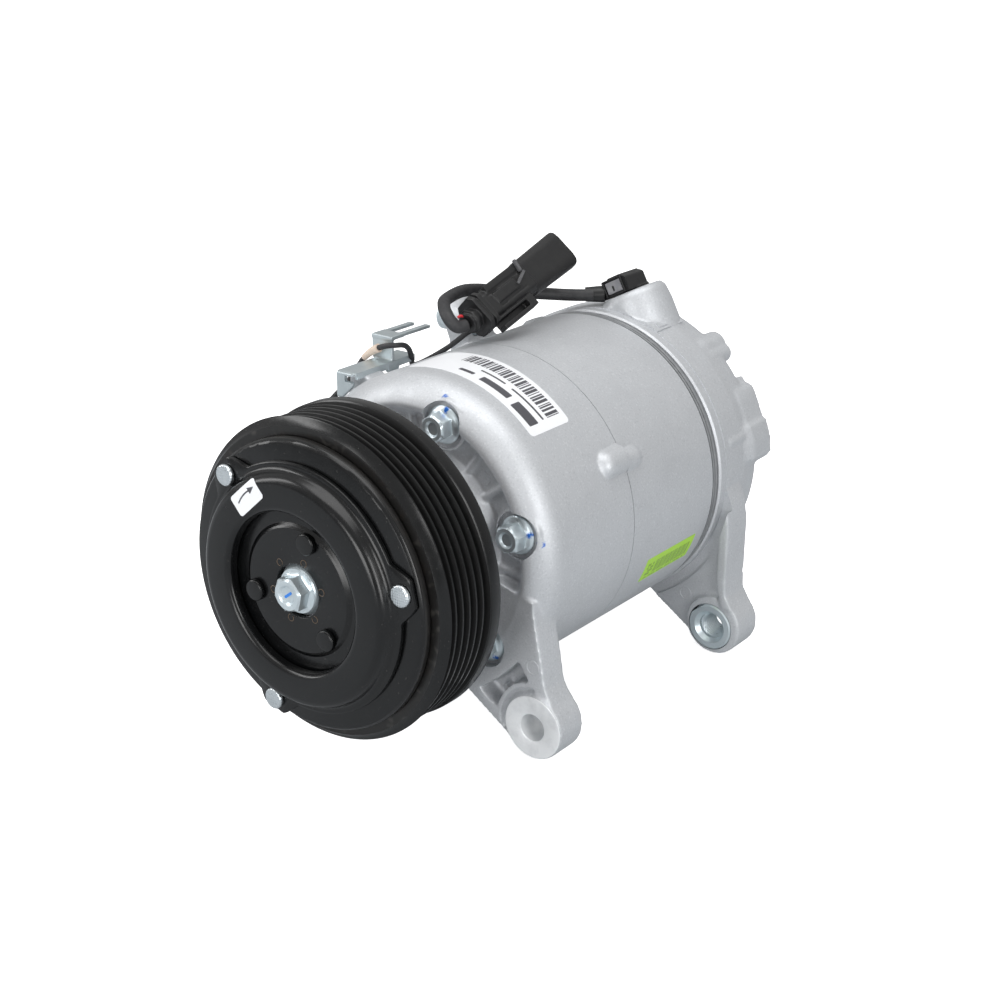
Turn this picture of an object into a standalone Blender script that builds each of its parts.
"""Automotive air-conditioning compressor: six-piston swash-plate pump with a belt-driven magnetic clutch.

The shaft runs along Y with the clutch at -Y and the rear head at +Y. Lengths below are in millimetres, with
Y counted from the joint plane between the front housing and the cylinder block. The last step moves the
finished assembly along Y, so that its origin is where the shaft axis meets the rear head's flat back.
"""
import bpy
import bmesh
from math import acos, atan2, cos, pi, radians, sin, sqrt
from mathutils import Matrix, Vector

MM = 0.001
GAP = 0.3                      # clearance between a piece and the one it rests on or runs in

# Body
BODY_R = 59.5
CAVITY_R = 52.3
BLOCK_END = 55.6
PLATE_Y = (55.9, 60.2)         # valve plate
HEAD_Y = (60.5, 93.6)

# Through bolts
BOLT_R = 47.0
BOLT_ANGLES = [14 + 60 * k for k in range(6)]
BOLT_SEAT_Y = -52.5
BOLT_END_Y = 70.2

# Pistons and swash plate
BORE_PITCH_R = 37.0
BORE_R = 16.0
PISTON_ANGLES = [44 + 60 * k for k in range(6)]
SWASH_Y = -14.0
SWASH_R = 43.0
SWASH_HALF = 3.8
SHOE_R = 9.5
SHOE_GAP = 0.2

# Clutch
PULLEY_Y = (-108.5, -79.1)     # front friction face, rear edge
GROOVES = 6
GROOVE_PITCH = 3.56
CREST_R = 57.7
NOSE_R = 20.0
NOSE_END = -99.0
AIR_GAP = 0.5
ARMATURE_T = 4.3
RIVET_R = 47.2
RIVET_ANGLES = [133, 253, 13]
INNER_RIVET_R = 19.7
INNER_RIVET_ANGLES = [73, 193, 313]
SHAFT_R = 9.0

# Facets round the large castings, the clutch and small round pieces
BODY_STEPS = 28
CLUTCH_STEPS = 24
SMALL_STEPS = 16

# Mounting legs, as (x, z) of their hole axes, which run along Y
FRONT_LEG = (55.0, -60.0)
FRONT_LEG_Y = (-56.4, -42.4)
REAR_LEG = (57.5, -63.5)
REAR_LEG_Y = (62.0, 77.0)

# Upper ear, as (y, z) of its hole axis, which runs along X
EAR = (20.0, 60.5)
EAR_X = (-40.0, -29.0)
BUSH_X = (-46.0, -29.3)

# Control valve in the rear head
VALVE_TOP = (4.0, 79.0, 65.4)
VALVE_TILT = radians(-28.0)    # lean of the valve's axis from vertical, towards -X

# Plug of the wiring harness: its axis, and the way its wide side faces
PLUG_START = (-14.7, -0.5, 68.0)
PLUG_END = (-15.5, 57.5, 84.1)
PLUG_FACING = (0.716, -0.182, 0.674)
CABLE_R = 2.5
LEAD_R = 1.2


# ---------------------------------------------------------------- scene and helpers
for old in list(bpy.data.objects):
    bpy.data.objects.remove(old, do_unlink=True)

MATERIALS = {
    "cast_aluminium": ((0.62, 0.63, 0.64), 0.42, 0.9),
    "black_steel": ((0.035, 0.036, 0.038), 0.45, 0.6),
    "black_plastic": ((0.02, 0.021, 0.023), 0.5, 0.0),
    "zinc": ((0.62, 0.66, 0.68), 0.28, 1.0),
    "steel": ((0.55, 0.56, 0.58), 0.3, 1.0),
    "rubber": ((0.015, 0.015, 0.016), 0.8, 0.0),
    "coil_epoxy": ((0.10, 0.03, 0.02), 0.5, 0.0),
    "bronze": ((0.55, 0.38, 0.18), 0.35, 1.0),
}


def material_for(name, kind):
    colour, rough, metal = MATERIALS[kind]
    mat = bpy.data.materials.new(name)
    mat.use_nodes = True
    bsdf = mat.node_tree.nodes["Principled BSDF"]
    bsdf.inputs["Base Color"].default_value = (*colour, 1.0)
    bsdf.inputs["Roughness"].default_value = rough
    bsdf.inputs["Metallic"].default_value = metal
    return mat


def finish(bm, name, kind=None):
    """Closes the mesh, turns it outwards and makes the object. A piece without a kind is a cutter."""
    bmesh.ops.remove_doubles(bm, verts=bm.verts, dist=1e-7)
    bmesh.ops.recalc_face_normals(bm, faces=bm.faces)
    mesh = bpy.data.meshes.new(name)
    bm.to_mesh(mesh)
    bm.free()
    obj = bpy.data.objects.new(name, mesh)
    bpy.context.scene.collection.objects.link(obj)
    if kind:
        mesh.materials.append(material_for(name, kind))
        mesh.shade_smooth()
        mesh.set_sharp_from_angle(angle=radians(32))
    else:
        obj.hide_render = True
        obj.display_type = "WIRE"
    return obj


def turned(name, profile, kind=None, steps=48):
    """A profile of (radius, y) turned about Y. One that starts and ends on the axis isn't closed along it."""
    bm = bmesh.new()
    verts = [bm.verts.new((r * MM, y * MM, 0.0)) for r, y in profile]
    edges = [bm.edges.new(pair) for pair in zip(verts, verts[1:])]
    if not (profile[0][0] == 0 and profile[-1][0] == 0):
        edges.append(bm.edges.new((verts[-1], verts[0])))
    bmesh.ops.spin(bm, geom=verts + edges, axis=(0, 1, 0), cent=(0, 0, 0), angle=2 * pi,
                   steps=steps, use_merge=True)
    return finish(bm, name, kind)


def stacked(name, rings, kind=None):
    """Rings of (y, [(x, z), ...]) joined one to the next, with both ends closed."""
    bm = bmesh.new()
    loops = [[bm.verts.new((x * MM, y * MM, z * MM)) for x, z in points] for y, points in rings]
    for low, high in zip(loops, loops[1:]):
        for k in range(len(low)):
            j = (k + 1) % len(low)
            bm.faces.new((low[k], low[j], high[j], high[k]))
    bm.faces.new(loops[0])
    bm.faces.new(loops[-1])
    return finish(bm, name, kind)


def prism(name, outline, y0, y1, kind=None):
    """An (x, z) outline extruded along Y."""
    bm = bmesh.new()
    face = bm.faces.new([bm.verts.new((x * MM, y0 * MM, z * MM)) for x, z in outline])
    made = bmesh.ops.extrude_face_region(bm, geom=[face])["geom"]
    moved = [g for g in made if isinstance(g, bmesh.types.BMVert)]
    bmesh.ops.translate(bm, verts=moved, vec=(0, (y1 - y0) * MM, 0))
    return finish(bm, name, kind)


def rod(name, radius, y0, y1, kind=None, steps=16):
    return turned(name, [(0, y0), (radius, y0), (radius, y1), (0, y1)], kind, steps)


def ball(name, radius, steps=20, rings=12):
    bm = bmesh.new()
    bmesh.ops.create_uvsphere(bm, u_segments=steps, v_segments=rings, radius=radius * MM)
    return finish(bm, name)


def arc(cx, cy, radius, start, end, steps):
    """Points of a circular arc, angles in degrees."""
    return [(cx + radius * cos(radians(start + (end - start) * k / steps)),
             cy + radius * sin(radians(start + (end - start) * k / steps))) for k in range(steps + 1)]


def polar(radius, degrees):
    return radius * cos(radians(degrees)), radius * sin(radians(degrees))


def at_xz(obj, x, z, y=0.0):
    obj.location = (x * MM, y * MM, z * MM)
    return obj


def across_x(obj, y=0.0, z=0.0):
    """Lays a piece that was built along Y across the shaft, along X."""
    obj.rotation_euler = (0, 0, -pi / 2)
    obj.location = (0, y * MM, z * MM)
    return obj


FINE_CUT = ("front_housing", "rear_head")     # many cuts meet on these, so they take the watertight solver


def boolean(obj, tool, operation="DIFFERENCE"):
    mod = obj.modifiers.new(tool.name, "BOOLEAN")
    mod.object = tool
    mod.operation = operation
    mod.solver = "MANIFOLD" if obj.name in FINE_CUT else "EXACT"
    return obj


def copy_of(obj, name):
    """A further object on the same mesh."""
    twin = bpy.data.objects.new(name, obj.data)
    bpy.context.scene.collection.objects.link(twin)
    twin.hide_render = obj.hide_render
    twin.display_type = obj.display_type
    return twin


def teardrop(centre, radius, foot_left, foot_right, steps=10, inner=()):
    """Outline of a leg: two feet on the body joined by tangents to the round end about the centre."""
    cx, cz = centre
    tangents = []
    for foot, side in ((foot_left, 1), (foot_right, -1)):
        dx, dz = foot[0] - cx, foot[1] - cz
        far = sqrt(dx * dx + dz * dz)
        tangents.append(atan2(dz, dx) + side * acos(radius / far))
    start, end = tangents
    while end < start:
        end += 2 * pi
    round_end = [(cx + radius * cos(start + (end - start) * k / steps),
                  cz + radius * sin(start + (end - start) * k / steps)) for k in range(steps + 1)]
    return [foot_left] + round_end + [foot_right] + list(inner)


# ---------------------------------------------------------------- front housing
shoulder = arc(47.5, -44.0, 12.0, 0, -90, 3)
front_housing = turned("front_housing", [(0, -0.15), (BODY_R, -0.15)] + shoulder + [
    (45.5, -49.5), (35.0, -49.5), (33.0, -56.0), (31.0, -76.0), (22.6, -76.0), (22.6, -78.7),
    (NOSE_R, -78.7), (NOSE_R, NOSE_END + 0.8), (NOSE_R - 0.8, NOSE_END), (0, NOSE_END)],
    "cast_aluminium", BODY_STEPS)
front_waist = [(59.5, -44.0), (57.5, -32.0), (55.0, -20.0), (54.0, -12.0), (30.0, -5.0)]
front_leg = prism("front_leg_web", teardrop(FRONT_LEG, 12.1, (20.5, -51.5), (62.5, -49.5), 10, front_waist),
                  FRONT_LEG_Y[0] + 1.2, FRONT_LEG_Y[1] - 0.4)
boolean(front_housing, front_leg, "UNION")
front_boss = at_xz(rod("front_leg_boss", 12.5, *FRONT_LEG_Y, steps=20), *FRONT_LEG)
boolean(front_housing, front_boss, "UNION")
for k, angle in enumerate(BOLT_ANGLES, 1):
    boss = rod(f"front_bolt_boss_{k}", 9.6, BOLT_SEAT_Y - 1.0, -46.5, steps=10)
    boolean(front_housing, at_xz(boss, *polar(BOLT_R, angle)), "UNION")
front_lozenge = stacked("front_lozenge", [(-13.0, [polar(2.2, 45 * k) for k in range(8)]),
                                          (-11.0, [polar(5.6, 45 * k) for k in range(8)]),
                                          (-0.35, [polar(5.6, 45 * k) for k in range(8)])])
boolean(front_housing, at_xz(front_lozenge, *polar(57.6, 26.3)), "UNION")
bracket_pad = prism("bracket_pad", [(-46.0, 36.0), (-30.0, 46.0), (-36.5, 50.2), (-44.5, 50.2)],
                    -39.0, -29.0)
boolean(front_housing, bracket_pad, "UNION")

cavity = turned("front_cavity", [
    (0, 1.0), (CAVITY_R, 1.0), (CAVITY_R, -38.0), (49.5, -42.6), (42.0, -45.5), (22.0, -45.5),
    (22.0, -48.8), (13.2, -48.8), (13.2, -60.5), (9.8, -60.5), (9.8, -64.0), (15.2, -64.0),
    (15.2, NOSE_END - 1), (0, NOSE_END - 1)], steps=BODY_STEPS)
boolean(front_housing, cavity)
for k, angle in enumerate(BOLT_ANGLES, 1):
    spot = turned(f"front_bolt_bore_{k}", [(0, -66), (8.8, -66), (8.8, BOLT_SEAT_Y), (3.7, BOLT_SEAT_Y),
                                           (3.7, -36), (0, -36)], steps=10)
    boolean(front_housing, at_xz(spot, *polar(BOLT_R, angle)))
boolean(front_housing, at_xz(rod("front_leg_bore", 5.4, -60, -38, steps=16), *FRONT_LEG))
pocket = prism("front_leg_pocket", [(39.5, -53.5), (51.5, -33.0), (53.0, -33.5), (54.5, -44.5),
                                    (48.0, -46.5), (43.0, -52.0)], FRONT_LEG_Y[0] - 1, -47.0)
boolean(front_housing, pocket)

# ---------------------------------------------------------------- cylinder block
block = turned("cylinder_block", [(9.6, 5.0), (CAVITY_R - 0.6, 5.0), (CAVITY_R - 0.6, 0.15), (BODY_R, 0.15),
                                  (BODY_R, BLOCK_END), (13.2, BLOCK_END), (13.2, 28.0), (9.6, 28.0)],
               "cast_aluminium", BODY_STEPS)
# In an outline that is laid across X, the first number is -Y.
ear_web = prism("ear_web", teardrop((-EAR[0], EAR[1]), 8.1, (-14.6, 48.0), (-33.0, 48.0), 8,
                                    [(-33.0, 42.0), (-14.6, 42.0)]), EAR_X[0] + 0.5, EAR_X[1] - 0.5)
boolean(block, across_x(ear_web), "UNION")
boolean(block, across_x(rod("ear_boss", 8.5, *EAR_X, steps=18), *EAR), "UNION")
rear_lozenge = stacked("rear_lozenge", [(0.35, [polar(5.6, 45 * k) for k in range(8)]),
                                        (11.0, [polar(5.6, 45 * k) for k in range(8)]),
                                        (13.0, [polar(2.2, 45 * k) for k in range(8)])])
boolean(block, at_xz(rear_lozenge, *polar(57.6, 26.3)), "UNION")
boolean(block, across_x(rod("ear_bore", 6.5, EAR_X[0] - 1, EAR_X[1] + 1, steps=16), *EAR))
for k, angle in enumerate(PISTON_ANGLES, 1):
    bore = at_xz(rod(f"bore_{k}", BORE_R, -2, 58), *polar(BORE_PITCH_R, angle))
    bore.rotation_euler = (0, -radians(angle), 0)
    boolean(block, bore)
for k, angle in enumerate(BOLT_ANGLES, 1):
    boolean(block, at_xz(rod(f"block_bolt_bore_{k}", 3.6, -2, 58, steps=8), *polar(BOLT_R, angle)))

# ---------------------------------------------------------------- valve plate
valve_plate = turned("valve_plate", [(4.0, PLATE_Y[0]), (BODY_R - 0.4, PLATE_Y[0]),
                                     (BODY_R - 0.4, PLATE_Y[1]), (4.0, PLATE_Y[1])], "steel", BODY_STEPS)
for k in range(6):
    bolt_hole = at_xz(rod(f"plate_bolt_bore_{k + 1}", 3.6, 54, 62, steps=8), *polar(BOLT_R, BOLT_ANGLES[k]))
    discharge = at_xz(rod(f"discharge_port_{k + 1}", 3.0, 54, 62, steps=8), *polar(25.5, PISTON_ANGLES[k]))
    suction = at_xz(rod(f"suction_port_{k + 1}", 4.0, 54, 62, steps=8), *polar(38.0, PISTON_ANGLES[k] + 4))
    for tool in (bolt_hole, discharge, suction):
        boolean(valve_plate, tool)

# ---------------------------------------------------------------- rear head
rear_head = turned("rear_head", [(0, HEAD_Y[0]), (58.9, HEAD_Y[0]), (60.3, 62.2), (60.3, 78.0), (59.2, 88.5)]
                   + arc(53.5, 88.0, 5.6, 0, 90, 3)[1:] + [(0, HEAD_Y[1])], "cast_aluminium", BODY_STEPS)
rear_end = (58.6, -62.6)       # middle of the leg's round end, a little off the insert's axis
rear_waist = [(64.3, -48.5), (63.7, -42.0), (64.3, -20.0), (63.0, -10.0), (60.5, -4.0), (40.0, -5.0)]
rear_leg = prism("rear_leg_web", teardrop(rear_end, 12.0, (22.0, -52.7), (67.4, -53.9), 10, rear_waist),
                 REAR_LEG_Y[0] + 1.2, REAR_LEG_Y[1] - 0.4)
boolean(rear_head, rear_leg, "UNION")
boolean(rear_head, at_xz(rod("rear_leg_boss", 12.4, *REAR_LEG_Y, steps=20), *rear_end), "UNION")
valve_seat = turned("valve_boss", [(0, -58), (6.0, -58), (13.1, -46), (13.1, 0), (0, 0)], steps=SMALL_STEPS)
valve_axis = Matrix.Translation(Vector(VALVE_TOP) * MM) @ Matrix.Rotation(VALVE_TILT, 4, "Y") \
    @ Matrix.Rotation(pi / 2, 4, "X")
valve_seat.matrix_world = valve_axis
boolean(rear_head, valve_seat, "UNION")
port_block = prism("port_block", [(30, 33.5), (42.3, 32.1), (43.5, 31.7), (47.0, 33.4), (48.7, 31.2),
                                  (51.8, 30.5), (53.6, 27.8), (57.7, 18.0), (59.3, 17.5), (61.6, 10.6),
                                  (62.3, 4.3), (60.5, 1.8), (54, -3), (36, -2), (26, 16)], 86.0, 97.0)
boolean(rear_head, port_block, "UNION")
boolean(rear_head, at_xz(rod("relief_boss", 5.4, 84, 97.0, steps=16), 33.5, 44.2), "UNION")
boolean(rear_head, turned("discharge_chamber", [(0, 58), (28, 58), (28, 82), (0, 82)], steps=BODY_STEPS))
boolean(rear_head, turned("suction_chamber", [(31.5, 58), (41.0, 58), (41.0, 69), (31.5, 69)],
                          steps=BODY_STEPS))
for k, angle in enumerate(BOLT_ANGLES, 1):
    boolean(rear_head, at_xz(rod(f"head_bolt_bore_{k}", 3.6, 58, BOLT_END_Y + 0.5, steps=8),
                             *polar(BOLT_R, angle)))
boolean(rear_head, at_xz(rod("suction_outlet", 7.5, 86, 99, steps=16), 50.0, 12.0))
boolean(rear_head, at_xz(rod("discharge_outlet", 5.5, 86, 99, steps=16), 38.0, 24.0))
boolean(rear_head, at_xz(rod("port_screw_hole", 2.9, 84, 99, steps=8), 48.5, 26.8))
insert_bore = at_xz(rod("insert_bore", 10.0, REAR_LEG_Y[0] - 1, REAR_LEG_Y[1] + 1, steps=16), *REAR_LEG)
boolean(rear_head, insert_bore)
valve_bore = turned("valve_bore", [(0, -45), (8.0, -45), (8.0, 2), (0, 2)], steps=16)
valve_bore.matrix_world = valve_axis
boolean(rear_head, valve_bore)

insert = turned("threaded_insert", [(5.2, 61.6), (9.7, 61.6), (9.7, 76.6), (5.2, 76.6)], "zinc", 16)
at_xz(insert, *REAR_LEG)
bush = turned("ear_bush", [(4.2, BUSH_X[0]), (6.2, BUSH_X[0]), (6.2, BUSH_X[1]), (4.2, BUSH_X[1])],
              "zinc", 16)
across_x(bush, *EAR)


# ---------------------------------------------------------------- through bolts
def hex_ring(across_corners):
    """Twelve points: the corners of a hexagon and the middles of its flats."""
    return [polar(across_corners * (1.0 if k % 2 == 0 else cos(pi / 6)), 30 * k) for k in range(12)]


def round_ring(radius):
    return [polar(radius, 30 * k) for k in range(12)]


seat = BOLT_SEAT_Y - GAP
bolt = stacked("through_bolt_1", [
    (seat - 5.0, round_ring(2.6)), (seat - 8.2, round_ring(3.2)), (seat - 8.2, hex_ring(6.6)),
    (seat - 1.7, hex_ring(6.6)), (seat - 1.5, round_ring(8.3)), (seat, round_ring(8.3)),
    (seat, round_ring(3.1)), (BOLT_END_Y, round_ring(3.1))], "zinc")
for k, angle in enumerate(BOLT_ANGLES, 1):
    piece = bolt if k == 1 else copy_of(bolt, f"through_bolt_{k}")
    at_xz(piece, *polar(BOLT_R, angle))

# ---------------------------------------------------------------- shaft, bearings and seal
turned("drive_shaft", [(0, -95), (3.5, -95), (3.5, -113.2), (6.4, -113.2), (7.0, -112.4), (7.0, -99.3),
                       (SHAFT_R, -98.3), (SHAFT_R, 27.0), (8.0, 28.0), (8.0, 47.0), (7.0, 48.0), (0, 48.0)],
       "steel", SMALL_STEPS)
turned("shaft_seal", [(9.3, -75.0), (14.8, -75.0), (14.8, -65.0), (11.5, -65.0), (9.3, -67.5)],
       "rubber", SMALL_STEPS)
turned("front_bearing", [(9.3, -60.2), (12.9, -60.2), (12.9, -49.2), (9.3, -49.2)], "steel", SMALL_STEPS)
turned("rear_bearing", [(8.3, 29.0), (12.9, 29.0), (12.9, 42.0), (8.3, 42.0)], "steel", SMALL_STEPS)
turned("thrust_bearing", [(9.4, -48.5), (21.6, -48.5), (21.6, -45.0), (9.4, -45.0)], "steel", 24)

lug_plate = turned("lug_plate", [(9.3, -44.7), (38.0, -44.7), (38.0, -39.4), (22.0, -39.4), (18.0, -35.0),
                                 (9.3, -35.0)], "steel", 24)
for side in (-1, 1):
    arm = prism(f"lug_arm_{'left' if side < 0 else 'right'}",
                [(side * 5.0, 14.0), (side * 10.0, 14.0), (side * 10.0, 25.0), (side * 5.0, 25.0)],
                -40.0, -30.5)
    boolean(lug_plate, arm, "UNION")

# ---------------------------------------------------------------- swash plate, hub, pistons and shoes
swash = turned("swash_plate", [(17.3, -SWASH_HALF), (SWASH_R - 0.6, -SWASH_HALF),
                               (SWASH_R, -SWASH_HALF + 0.6), (SWASH_R, SWASH_HALF - 0.6),
                               (SWASH_R - 0.6, SWASH_HALF), (17.3, SWASH_HALF)], "bronze", CLUTCH_STEPS)
swash.location = (0, SWASH_Y * MM, 0)
hub = turned("swash_hub", [(11.9, -6.0), (17.0, -6.0), (17.0, 6.0), (11.9, 6.0)], "steel", 24)
hub_ear = prism("hub_ear", [(-4.0, 12.6), (4.0, 12.6), (4.0, 16.2), (-4.0, 16.2)], -8.6, 0)
hub.location = hub_ear.location = (0, SWASH_Y * MM, 0)
boolean(hub, hub_ear, "UNION")


def c_block(name):
    """The piston's yoke round the rim of the swash plate, in its own axes: x radial, y along the shaft."""
    reach, open_half, front = 13.2, 7.9, -12.7
    bm = bmesh.new()
    side = [(-8.0, 36.0), (reach, 36.0), (reach, front), (-8.0, front), (-8.0, -open_half),
            (7.4, -open_half), (7.4, open_half), (-8.0, open_half)]
    face = bm.faces.new([bm.verts.new((x * MM, y * MM, -7.5 * MM)) for x, y in side])
    made = bmesh.ops.extrude_face_region(bm, geom=[face])["geom"]
    moved = [g for g in made if isinstance(g, bmesh.types.BMVert)]
    bmesh.ops.translate(bm, verts=moved, vec=(0, 0, 15 * MM))
    return bm


crown_top = 43.3 - SWASH_Y
shoe_flat = SWASH_HALF + SHOE_GAP
shoe_start = acos(shoe_flat / SHOE_R)
shoe_cap = [(SHOE_R * sin(shoe_start * k / 3), SHOE_R * cos(shoe_start * k / 3)) for k in range(4)]
for k, angle in enumerate(PISTON_ANGLES, 1):
    x, z = polar(BORE_PITCH_R, angle)
    place = Matrix.Translation((x * MM, SWASH_Y * MM, z * MM)) @ Matrix.Rotation(-radians(angle), 4, "Y")
    piston = finish(c_block(""), f"piston_{k}", "steel")
    crown = rod(f"piston_crown_{k}", BORE_R - GAP, crown_top - 22.0, crown_top)
    socket = ball(f"piston_socket_{k}", SHOE_R + 0.8, 12, 8)
    for obj in (piston, crown, socket):
        obj.matrix_world = place
    boolean(piston, crown, "UNION")
    boolean(piston, socket)
    rear_shoe = turned(f"shoe_rear_{k}", [(0, shoe_flat)] + shoe_cap[::-1], "steel", 10)
    front_cap = [(r, -y) for r, y in shoe_cap[::-1]]
    front_shoe = turned(f"shoe_front_{k}", [(0, -shoe_flat)] + front_cap, "steel", 10)
    rear_shoe.location = front_shoe.location = (x * MM, SWASH_Y * MM, z * MM)

# ---------------------------------------------------------------- pulley and its bearing
front_y, back_y = PULLEY_Y
crest_front = front_y + 2.74
outline = [(54.3, front_y), (55.7, front_y), (57.6, crest_front - 0.5), (58.6, crest_front)]
for g in range(GROOVES):
    middle = crest_front + GROOVE_PITCH * (g + 0.5)
    outline.append((CREST_R - 2.9, middle))
    if g < GROOVES - 1:
        outline.append((CREST_R, middle + GROOVE_PITCH / 2))
flange_y = crest_front + GROOVE_PITCH * GROOVES
outline += [(58.2, flange_y), (58.6, flange_y + 0.6), (58.6, back_y - 0.6), (58.0, back_y), (51.4, back_y),
            (51.4, front_y + 5.0), (35.4, front_y + 5.0), (35.4, -80.2), (31.3, -80.2),
            (31.3, front_y + 4.0),
            (29.5, front_y + 4.0), (29.5, front_y)]
turned("pulley", outline, "black_steel", CLUTCH_STEPS)

turned("bearing_inner_race", [(20.3, -98.3), (23.4, -98.3), (23.4, -91.6), (22.3, -90.3), (22.3, -87.3),
                              (23.4, -86.0), (23.4, -79.3), (20.3, -79.3)], "steel", 24)
turned("bearing_outer_race", [(27.9, -98.3), (31.0, -98.3), (31.0, -80.3), (27.9, -80.3), (27.9, -86.0),
                              (29.0, -87.3), (29.0, -90.3), (27.9, -91.6)], "steel", 24)
cage = turned("ball_cage", [(24.9, -90.0), (26.4, -90.0), (26.4, -87.6), (24.9, -87.6)], "bronze", 16)
for k in range(8):
    x, z = polar(25.65, 45 * k)
    one = at_xz(ball(f"bearing_ball_{k + 1}", 2.95, 6, 4), x, z, -88.8)
    boolean(cage, one, "UNION")

turned("field_coil", [(23.0, -76.3), (47.0, -76.3), (47.0, -77.0), (50.6, -77.4), (50.6, -102.6),
                      (36.2, -102.6), (36.2, -78.5), (23.0, -78.5)], "coil_epoxy", CLUTCH_STEPS)

# ---------------------------------------------------------------- armature, drive dish and hub
arm_back = front_y - AIR_GAP
arm_front = arm_back - ARMATURE_T
armature = turned("armature_plate", [(26.0, arm_back), (26.0, arm_front), (51.3, arm_front),
                                     (52.5, arm_front + 1.2), (52.5, arm_back)], "black_steel", CLUTCH_STEPS)
dish_back = arm_front - GAP
dish = turned("drive_dish", [(29.0, -116.4), (29.0, -119.6), (30.2, -120.7), (40.0, -120.7), (41.5, -119.6),
                             (43.0, -115.3), (45.0, -115.3), (45.0, dish_back), (41.4, dish_back),
                             (40.2, -118.9), (30.8, -118.9), (30.8, -116.4)], "black_steel", CLUTCH_STEPS)
for k, angle in enumerate(RIVET_ANGLES, 1):
    lobe = prism(f"dish_lobe_{k}", [(42.5, -12.0), (45.5, -10.0), (49.5, -6.0), (51.8, -4.2), (51.8, 4.2),
                                    (49.5, 6.0), (45.5, 10.0), (42.5, 12.0)], -115.3, dish_back)
    lobe.rotation_euler = (0, -radians(angle), 0)
    boolean(dish, lobe, "UNION")
    hole = at_xz(rod(f"rivet_bore_{k}", 3.1, -118, -107, steps=8), *polar(RIVET_R, angle))
    boolean(dish, hole)
    boolean(armature, hole)
turned("damper_ring", [(31.1, -118.3), (39.6, -118.3), (40.2, -115.7), (31.1, -115.7)],
       "rubber", CLUTCH_STEPS)
inner_plate_front, inner_plate_back = -116.6, -113.9
hub_front = inner_plate_back + GAP
plate = turned("damper_plate", [(9.7, inner_plate_front), (22.8, inner_plate_front), (24.0, -115.4),
                                (40.4, -115.4), (40.4, inner_plate_back), (9.7, inner_plate_back)],
               "black_steel", CLUTCH_STEPS)
clutch_hub = turned("clutch_hub", [(7.3, hub_front), (24.0, hub_front), (24.0, hub_front + 2.4),
                                   (12.0, hub_front + 2.4), (12.0, -99.8), (7.3, -99.8)],
                    "steel", SMALL_STEPS)
for k, angle in enumerate(INNER_RIVET_ANGLES, 1):
    hole = at_xz(rod(f"inner_rivet_bore_{k}", 2.8, -118, -109, steps=8), *polar(INNER_RIVET_R, angle))
    boolean(plate, hole)
    boolean(clutch_hub, hole)


def rivet(name, shank, head, head_front, under_head, tail_end):
    """A button head in front and a plain shank behind it."""
    return turned(name, [(0, head_front), (head - 0.5, head_front), (head, head_front + 0.5),
                         (head, under_head), (shank, under_head), (shank, tail_end), (0, tail_end)],
                  "zinc", 10)


outer_rivet = rivet("outer_rivet_1", 2.7, 3.9, -117.4, -115.6, arm_back - 0.2)
inner_rivet = rivet("inner_rivet_1", 2.4, 3.9, -118.7, inner_plate_front - GAP, -110.9)
for k in range(1, 4):
    outer = outer_rivet if k == 1 else copy_of(outer_rivet, f"outer_rivet_{k}")
    inner = inner_rivet if k == 1 else copy_of(inner_rivet, f"inner_rivet_{k}")
    at_xz(outer, *polar(RIVET_R, RIVET_ANGLES[k - 1]))
    at_xz(inner, *polar(INNER_RIVET_R, INNER_RIVET_ANGLES[k - 1]))

stacked("centre_bolt", [(-119.5, round_ring(3.0)), (-122.0, round_ring(5.4)), (-121.6, hex_ring(6.6)),
                        (-117.2, hex_ring(6.6)), (-116.7, round_ring(8.4)), (-115.6, round_ring(8.8)),
                        (-114.6, round_ring(9.3)), (-113.6, round_ring(9.3)), (-113.6, round_ring(3.2)),
                        (-97.0, round_ring(3.2))], "zinc")

# ---------------------------------------------------------------- control valve, harness and bracket
valve = turned("control_valve", [(0, -44), (7.6, -44), (7.6, 0.8), (0, 0.8)], "black_plastic", 20)
valve.matrix_world = valve_axis
cap = turned("valve_cap", [(0, 0.4), (9.2, 0.4), (9.2, 5.0), (7.6, 7.4), (0, 7.4)], steps=20)
cap.matrix_world = valve_axis @ Matrix.Translation((-1.6 * MM, 0, 1.4 * MM))
outlet = prism("valve_outlet", [(-3.6, 0), (3.6, 0), (3.6, 11.0), (-3.6, 11.0)], 0.7, 6.6)
outlet.matrix_world = valve_axis @ Matrix.Rotation(radians(-50), 4, "Y")
for part in (cap, outlet):
    boolean(valve, part, "UNION")


def tube(name, points, radius, kind, sides=8):
    """A round cord that follows the points smoothly."""
    path = []
    for i in range(len(points) - 1):
        p0 = Vector(points[max(i - 1, 0)])
        p1, p2 = Vector(points[i]), Vector(points[i + 1])
        p3 = Vector(points[min(i + 2, len(points) - 1)])
        for s in range(2):
            t = s / 2
            path.append(0.5 * (2 * p1 + (p2 - p0) * t + (2 * p0 - 5 * p1 + 4 * p2 - p3) * t * t
                               + (3 * p1 - p0 - 3 * p2 + p3) * t * t * t))
    path.append(Vector(points[-1]))
    bm = bmesh.new()
    loops = []
    side = None
    for i, point in enumerate(path):
        along = (path[min(i + 1, len(path) - 1)] - path[max(i - 1, 0)]).normalized()
        if side is None:
            side = along.orthogonal().normalized()
        side = (side - along * side.dot(along)).normalized()
        up = along.cross(side)
        loops.append([bm.verts.new((point + radius * (cos(2 * pi * k / sides) * side
                                                      + sin(2 * pi * k / sides) * up)) * MM)
                      for k in range(sides)])
    for low, high in zip(loops, loops[1:]):
        for k in range(sides):
            j = (k + 1) % sides
            bm.faces.new((low[k], low[j], high[j], high[k]))
    bm.faces.new(loops[0])
    bm.faces.new(loops[-1])
    return finish(bm, name, kind)


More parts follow.
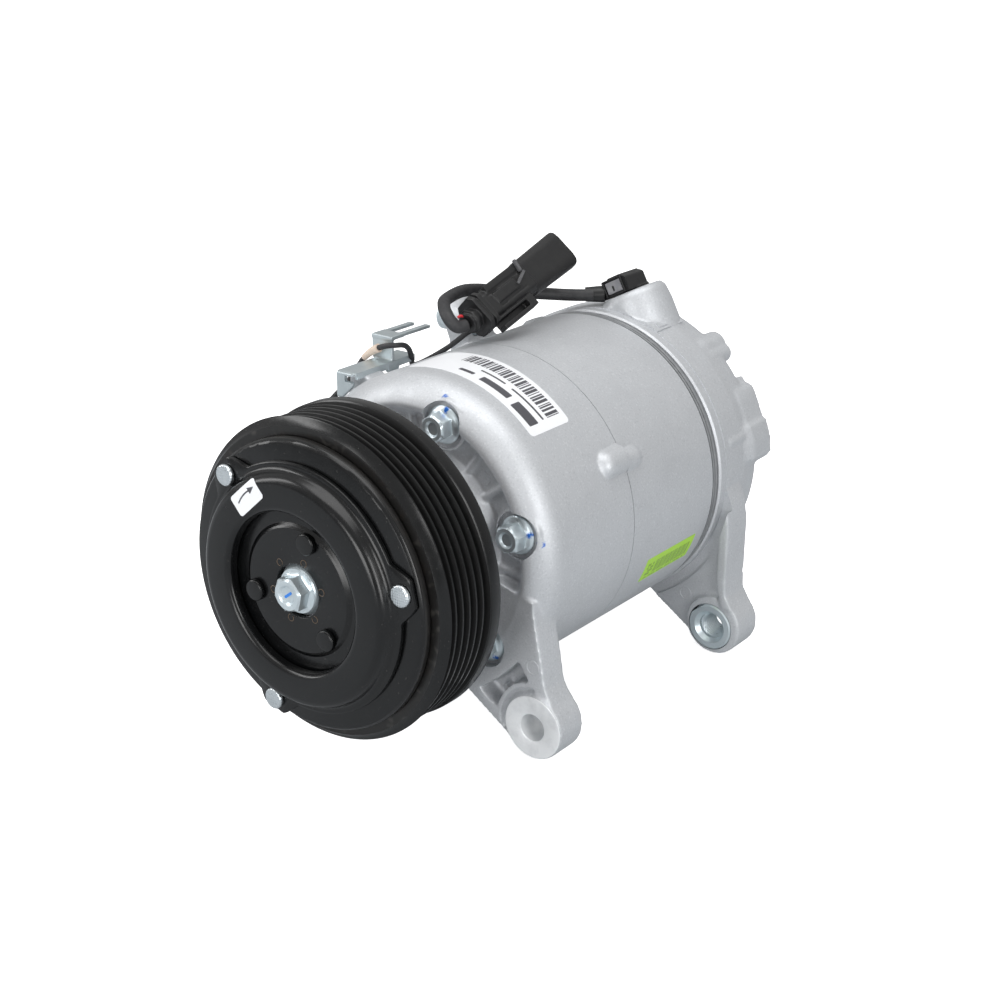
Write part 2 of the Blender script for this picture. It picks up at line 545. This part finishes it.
plug_start = Vector(PLUG_START)
plug_length = (Vector(PLUG_END) - plug_start).length
plug_dir = (Vector(PLUG_END) - plug_start).normalized()
plug_side = plug_dir.cross(Vector(PLUG_FACING)).normalized()
plug_frame = Matrix((plug_side, plug_dir, plug_side.cross(plug_dir))).transposed().to_4x4()
plug_frame.translation = plug_start * MM


def chamfered(width, height, corner=2.0):
    w, h = width / 2, height / 2
    return [(w, -h + corner), (w, h - corner), (w - corner, h), (-w + corner, h), (-w, h - corner),
            (-w, -h + corner), (-w + corner, -h), (w - corner, -h)]


plug = stacked("main_connector", [
    (-5.0, chamfered(8.4, 8.4, 2.4)), (0, chamfered(8.4, 8.4, 2.4)), (0, chamfered(15.4, 11.4)),
    (5.4, chamfered(15.4, 11.4)), (6.2, chamfered(13.6, 10.4)), (33.0, chamfered(15.0, 11.0)),
    (33.4, chamfered(13.4, 9.2)), (plug_length, chamfered(13.4, 9.2)),
    (plug_length, chamfered(11.0, 6.8, 1.6)), (42.0, chamfered(11.0, 6.8, 1.6))], "black_plastic")
plug.matrix_world = plug_frame

tube("harness_cable", [(-7.0, 67.4, 64.3), (-15.0, 62.2, 64.2), (-23.0, 53.1, 65.4), (-29.0, 40.3, 67.6),
                       (-31.5, 24.0, 71.5), (-31.2, 12.0, 73.3), (-28.5, -0.9, 73.0), (-25.0, -6.4, 72.2),
                       (-21.0, -9.9, 70.6), (-17.6, -11.2, 68.3), (-15.6, -9.8, 66.4), (-14.6, -6.3, 66.35)],
     CABLE_R, "rubber", 7)
tube("coil_lead", [(-20.5, 8.8, 65.0), (-21.4, 6.2, 61.2), (-24.0, 5.0, 58.8), (-28.0, 5.6, 55.2),
                   (-32.0, 6.8, 52.4), (-36.6, 4.0, 49.4), (-38.0, -1.5, 48.4), (-36.2, -7.2, 49.4),
                   (-35.1, -10.4, 52.0), (-34.2, -14.2, 55.4), (-33.6, -19.0, 58.1), (-34.2, -24.0, 59.2),
                   (-38.5, -25.4, 58.4), (-44.0, -25.4, 56.0), (-49.4, -25.0, 52.0), (-51.8, -27.0, 47.5),
                   (-51.6, -33.0, 43.2), (-50.6, -42.0, 39.8),
                   (-48.5, -57.0, 34.0), (-46.5, -64.0, 27.0), (-42.5, -70.0, 24.0), (-41.5, -75.6, 23.5)],
     LEAD_R, "rubber", 5)

# The bracket is folded from strip: a level strap on the pad, a tab down its front, a foot at the back,
# and an upright that carries a two-pronged fork.
STRAP_Z = (50.6, 52.1)
FORK_Z = (58.0, 59.5)
bracket = prism("wire_bracket", [(-46.4, STRAP_Z[0]), (-37.2, STRAP_Z[0]), (-37.2, STRAP_Z[1]),
                                 (-46.4, STRAP_Z[1])], -43.4, -9.4, "zinc")


def bracket_part(name, x0, x1, z0, z1, y0, y1):
    part = prism(name, [(x0, z0), (x1, z0), (x1, z1), (x0, z1)], y0, y1)
    boolean(bracket, part, "UNION")


bracket_tab = prism("bracket_tab", [(-46.0, 42.0), (-43.2, 42.0), (-38.0, 47.0), (-38.0, 51.9), (-46.0, 51.9)],
                    -44.7, -43.2)
boolean(bracket, bracket_tab, "UNION")
bracket_part("bracket_foot", -38.6, -37.0, 48.2, 51.7, -25.4, -18.8)
bracket_part("bracket_upright", -46.2, -36.0, 51.9, 59.3, -21.6, -20.0)
bracket_part("bracket_fork_base", -46.4, -35.6, *FORK_Z, -21.8, -14.0)
bracket_part("bracket_prong_left", -46.1, -43.3, FORK_Z[0] + 0.1, FORK_Z[1] - 0.1, -14.2, 1.6)
bracket_part("bracket_prong_right", -38.7, -35.9, FORK_Z[0] + 0.1, FORK_Z[1] - 0.1, -14.2, 3.8)

# ---------------------------------------------------------------- origin on the rear head's flat back
for obj in bpy.data.objects:
    obj.location.y -= HEAD_Y[1] * MM
